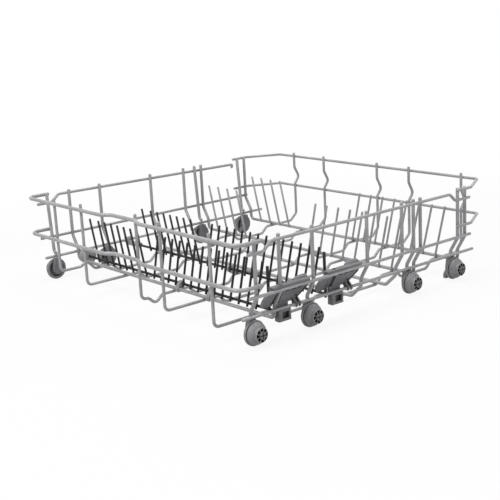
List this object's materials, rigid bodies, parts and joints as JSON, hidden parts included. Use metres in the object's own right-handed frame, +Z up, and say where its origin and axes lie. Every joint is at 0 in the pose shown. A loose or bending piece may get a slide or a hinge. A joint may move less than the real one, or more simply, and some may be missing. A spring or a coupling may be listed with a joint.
{
  "type": "dishwasher basket",
  "caption": "Lower dishwasher basket of bent coated wire on wheels, with fold-down plate racks, fixed tine rows and a recessed front grip.",
  "frame": {"origin": "centre of the basket's footprint on the floor, under the wheels", "axes": "+Z up, +X to the right side that carries the rack holders, -Y towards the front grip"},
  "size_m": [0.5326, 0.5262, 0.147],
  "materials": {
    "grey_wire": "satin coating",
    "black_wire": "satin coating",
    "dark_plastic": "moulded",
    "light_plastic": "moulded",
    "wheel_plastic": "moulded"
  },
  "bodies": {
    "frame": {"base_rail_left": "grey_wire", "base_rail_right": "grey_wire", "fourth_cross_wire": "grey_wire", "front_carrier_left": "dark_plastic", "front_carrier_right": "dark_plastic", "front_cross_wire": "grey_wire", "front_inner_carrier_left": "dark_plastic", "front_inner_carrier_right": "dark_plastic", "front_inner_post_left": "grey_wire", "front_inner_post_right": "grey_wire", "front_lower_rail": "grey_wire", "front_post_left": "grey_wire", "front_post_right": "grey_wire", "front_rack_clip_1": "light_plastic", "front_rack_clip_2": "light_plastic", "front_rack_holder": "dark_plastic", "front_rack_left_bearing": "light_plastic", "front_upper_rail": "grey_wire", "long_wire_1": "grey_wire", "long_wire_2": "grey_wire", "long_wire_3": "grey_wire", "long_wire_4": "grey_wire", "long_wire_5": "grey_wire", "middle_tine_row": "grey_wire", "rear_carrier_left": "dark_plastic", "rear_carrier_right": "dark_plastic", "rear_cross_wire": "grey_wire", "rear_inner_carrier_left": "dark_plastic", "rear_inner_carrier_right": "dark_plastic", "rear_inner_post_left": "grey_wire", "rear_inner_post_right": "grey_wire", "rear_lower_rail": "grey_wire", "rear_post_left": "grey_wire", "rear_post_right": "grey_wire", "rear_rack_clip": "light_plastic", "rear_rack_holder": "dark_plastic", "rear_rack_left_bearing": "light_plastic", "rear_tine_row": "grey_wire", "rear_upper_rail": "grey_wire", "second_cross_wire": "grey_wire", "third_cross_wire": "grey_wire", "upper_rail_left": "grey_wire", "upper_rail_right": "grey_wire", "waist_rail_left": "grey_wire", "waist_rail_right": "grey_wire"},
    "front_inner_wheel_left_body": {"front_inner_wheel_left": "wheel_plastic"},
    "front_inner_wheel_right_body": {"front_inner_wheel_right": "wheel_plastic"},
    "front_rack": {"front_rack_bar": "black_wire", "front_rack_lever": "black_wire", "front_rack_tines": "black_wire"},
    "front_wheel_left_body": {"front_wheel_left": "wheel_plastic"},
    "front_wheel_right_body": {"front_wheel_right": "wheel_plastic"},
    "rear_inner_wheel_left_body": {"rear_inner_wheel_left": "wheel_plastic"},
    "rear_inner_wheel_right_body": {"rear_inner_wheel_right": "wheel_plastic"},
    "rear_rack": {"rear_rack_bar": "black_wire", "rear_rack_lever": "black_wire", "rear_rack_tines": "black_wire"},
    "rear_wheel_left_body": {"rear_wheel_left": "wheel_plastic"},
    "rear_wheel_right_body": {"rear_wheel_right": "wheel_plastic"}
  },
  "joints": [
    {"name": "front_rack_fold", "type": "hinge", "parent": "frame", "child": "front_rack", "pos_m": [0, -0.1815, 0.033], "axis": [-1, 0, 0], "range_deg": [0, 90]},
    {"name": "rear_rack_fold", "type": "hinge", "parent": "frame", "child": "rear_rack", "pos_m": [0, -0.084, 0.033], "axis": [-1, 0, 0], "range_deg": [0, 90]},
    {"name": "front_wheel_left_spin", "type": "hinge", "parent": "frame", "child": "front_wheel_left_body", "pos_m": [-0.255, -0.228, 0.0172], "axis": [1, 0, 0], "continuous": true},
    {"name": "front_wheel_right_spin", "type": "hinge", "parent": "frame", "child": "front_wheel_right_body", "pos_m": [0.255, -0.228, 0.0172], "axis": [1, 0, 0], "continuous": true},
    {"name": "front_inner_wheel_left_spin", "type": "hinge", "parent": "frame", "child": "front_inner_wheel_left_body", "pos_m": [-0.255, -0.128, 0.0172], "axis": [1, 0, 0], "continuous": true},
    {"name": "front_inner_wheel_right_spin", "type": "hinge", "parent": "frame", "child": "front_inner_wheel_right_body", "pos_m": [0.255, -0.128, 0.0172], "axis": [1, 0, 0], "continuous": true},
    {"name": "rear_inner_wheel_left_spin", "type": "hinge", "parent": "frame", "child": "rear_inner_wheel_left_body", "pos_m": [-0.255, 0.073, 0.0172], "axis": [1, 0, 0], "continuous": true},
    {"name": "rear_inner_wheel_right_spin", "type": "hinge", "parent": "frame", "child": "rear_inner_wheel_right_body", "pos_m": [0.255, 0.073, 0.0172], "axis": [1, 0, 0], "continuous": true},
    {"name": "rear_wheel_left_spin", "type": "hinge", "parent": "frame", "child": "rear_wheel_left_body", "pos_m": [-0.255, 0.173, 0.0172], "axis": [1, 0, 0], "continuous": true},
    {"name": "rear_wheel_right_spin", "type": "hinge", "parent": "frame", "child": "rear_wheel_right_body", "pos_m": [0.255, 0.173, 0.0172], "axis": [1, 0, 0], "continuous": true}
  ]
}
